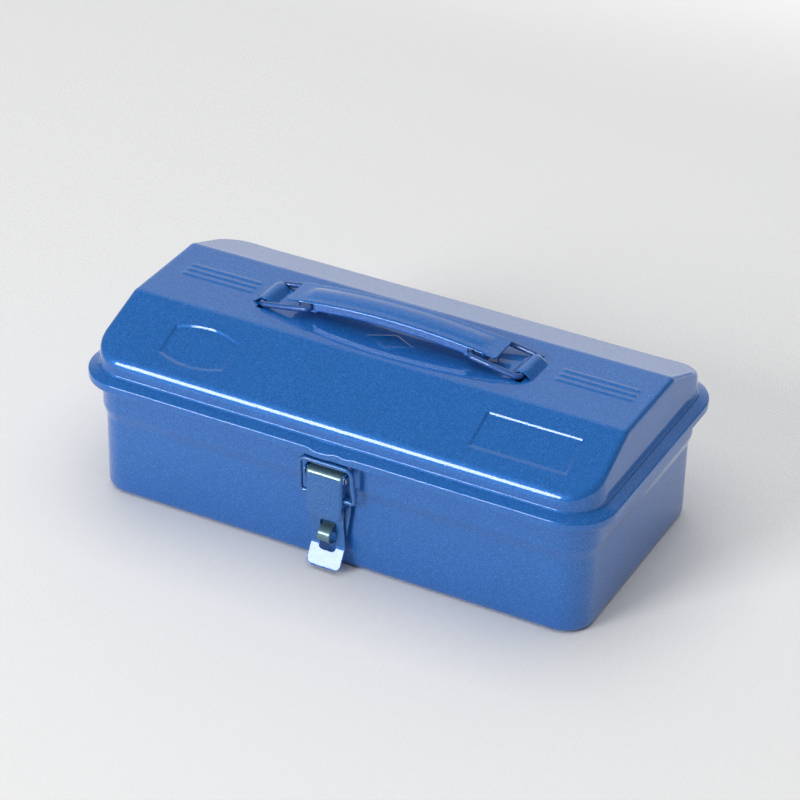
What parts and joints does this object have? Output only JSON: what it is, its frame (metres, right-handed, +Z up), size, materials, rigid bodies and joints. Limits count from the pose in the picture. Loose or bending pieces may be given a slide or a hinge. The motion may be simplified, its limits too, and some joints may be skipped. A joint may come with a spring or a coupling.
{
  "type": "metal tool box",
  "caption": "Pressed steel tool box with a pitched lid on rear hinges, an arched sheet grip on two wire bails, and a wire draw latch with a padlock eye",
  "frame": {"origin": "middle of the tub's underside, on the surface the box stands on", "axes": "+X along the box's length, -Y towards the latch, +Z up"},
  "size_m": [0.2838, 0.1575, 0.1076],
  "materials": {
    "body_paint": "glossy metallic",
    "latch_paint": "glossy metallic",
    "hinge_paint": "glossy metallic",
    "wire_paint": "glossy metallic",
    "eye_plate": "glossy metallic",
    "pin_steel": "satin"
  },
  "bodies": {
    "box": {"tub": "body_paint", "hinge_base_leaf_left": "hinge_paint", "hinge_base_leaf_right": "hinge_paint", "hinge_pin_left": "pin_steel", "hinge_pin_right": "pin_steel", "latch_base_plate": "latch_paint", "latch_pin": "pin_steel", "padlock_eye": "eye_plate"},
    "lid": {"lid": "body_paint", "lid_catch": "latch_paint", "hinge_lid_leaf_left": "hinge_paint", "hinge_lid_leaf_right": "hinge_paint"},
    "grip": {"handle_grip": "body_paint"},
    "wire_left": {"handle_wire_left": "wire_paint"},
    "wire_right": {"handle_wire_right": "wire_paint"},
    "lever": {"latch_lever": "latch_paint", "latch_tab": "latch_paint"},
    "draw_wire": {"latch_wire": "wire_paint"}
  },
  "joints": [
    {"name": "lid_hinge", "type": "hinge", "parent": "box", "child": "lid", "pos_m": [0, 0.0785, 0.066], "axis": [-1, 0, 0], "range_deg": [0, 105]},
    {"name": "handle_lift", "type": "slide", "parent": "lid", "child": "grip", "axis": [0, 0, 1], "range_m": [0, 0.01]},
    {"name": "wire_left_hinge", "type": "hinge", "parent": "lid", "child": "wire_left", "pos_m": [-0.0705, 0, 0.0966], "axis": [0, -1, 0], "range_deg": [-0.5, 23.5]},
    {"name": "wire_right_hinge", "type": "hinge", "parent": "lid", "child": "wire_right", "pos_m": [0.0705, 0, 0.0966], "axis": [0, 1, 0], "range_deg": [-0.5, 23.5]},
    {"name": "lever_hinge", "type": "hinge", "parent": "box", "child": "lever", "pos_m": [0, -0.072, 0.054], "axis": [-1, 0, 0], "range_deg": [0, 120]},
    {"name": "draw_wire_hinge", "type": "hinge", "parent": "lever", "child": "draw_wire", "pos_m": [0, -0.0718, 0.0415], "axis": [-1, 0, 0], "range_deg": [-140, 1]}
  ],
  "couplings": [
    {"joint": "wire_left_hinge", "follows": "handle_lift", "rad_per_m": 39.8},
    {"joint": "wire_right_hinge", "follows": "handle_lift", "rad_per_m": 39.8},
    {"joint": "draw_wire_hinge", "follows": "lever_hinge", "ratio": -1.15}
  ]
}
